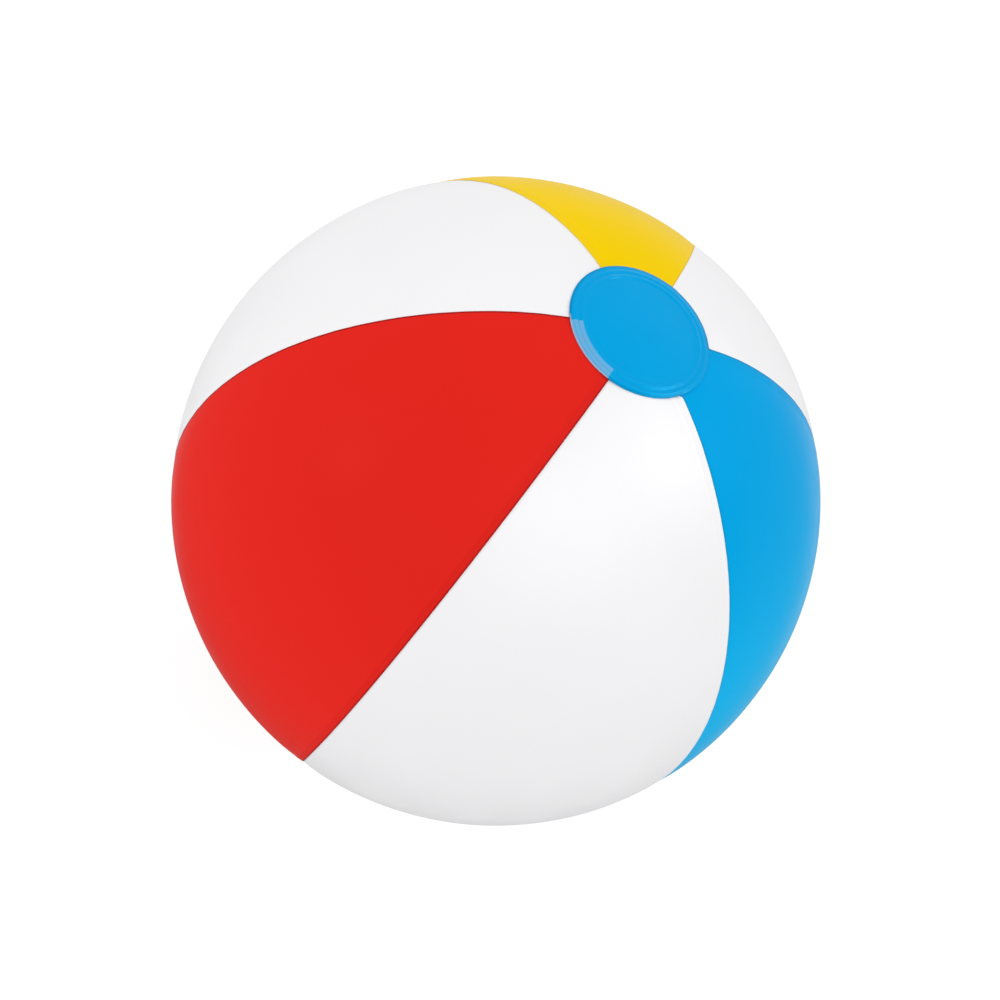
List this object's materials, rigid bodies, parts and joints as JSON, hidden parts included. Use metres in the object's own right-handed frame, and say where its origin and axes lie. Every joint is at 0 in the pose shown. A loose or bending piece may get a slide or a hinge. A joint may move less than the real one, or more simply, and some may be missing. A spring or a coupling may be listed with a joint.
{
  "type": "inflatable beach ball",
  "caption": "Round inflatable vinyl ball of coloured and white panels with a round patch at each end and a push-in valve with a tethered stopper.",
  "frame": {"origin": "centre of the ball", "axes": "+Z along the ball's axis, through the middle of the two end discs, away from the end it rests on; -Y through the middle of the white panel between the red and the blue one"},
  "size_m": [0.3596, 0.3602, 0.3607],
  "materials": {
    "vinyl_red": "gloss",
    "vinyl_white": "gloss",
    "vinyl_blue": "gloss",
    "vinyl_yellow": "gloss",
    "vinyl_clear": "gloss"
  },
  "bodies": {
    "ball": {"panel_red": "vinyl_red", "panel_white_front": "vinyl_white", "panel_blue": "vinyl_blue", "panel_white_right": "vinyl_white", "panel_yellow": "vinyl_yellow", "panel_white_left": "vinyl_white", "top_end_disc": "vinyl_blue", "bottom_end_disc": "vinyl_blue", "valve_flange": "vinyl_clear", "valve_diaphragm": "vinyl_clear"},
    "valve_stem": {"valve_stem": "vinyl_clear", "stopper_strap": "vinyl_clear"},
    "stopper": {"valve_stopper": "vinyl_clear"},
    "check_flap": {"check_flap": "vinyl_clear"}
  },
  "joints": [
    {"name": "stem_slide", "type": "slide", "parent": "ball", "child": "valve_stem", "axis": [-0.7094, 0.4096, -0.5736], "range_m": [0, 0.01], "deforming": ["valve_diaphragm"]},
    {"name": "stopper_swing", "type": "hinge", "parent": "valve_stem", "child": "stopper", "pos_m": [-0.12284, 0.07092, -0.11177], "axis": [-0.5, -0.866, 0], "range_deg": [0, 165], "deforming": ["stopper_strap"]},
    {"name": "check_flap_hinge", "type": "hinge", "parent": "valve_stem", "child": "check_flap", "pos_m": [-0.11803, 0.06814, -0.08981], "axis": [-0.5, -0.866, 0], "range_deg": [0, 50], "stiffness_Nm_per_rad": 0.00005, "springref_deg": -5.73}
  ]
}
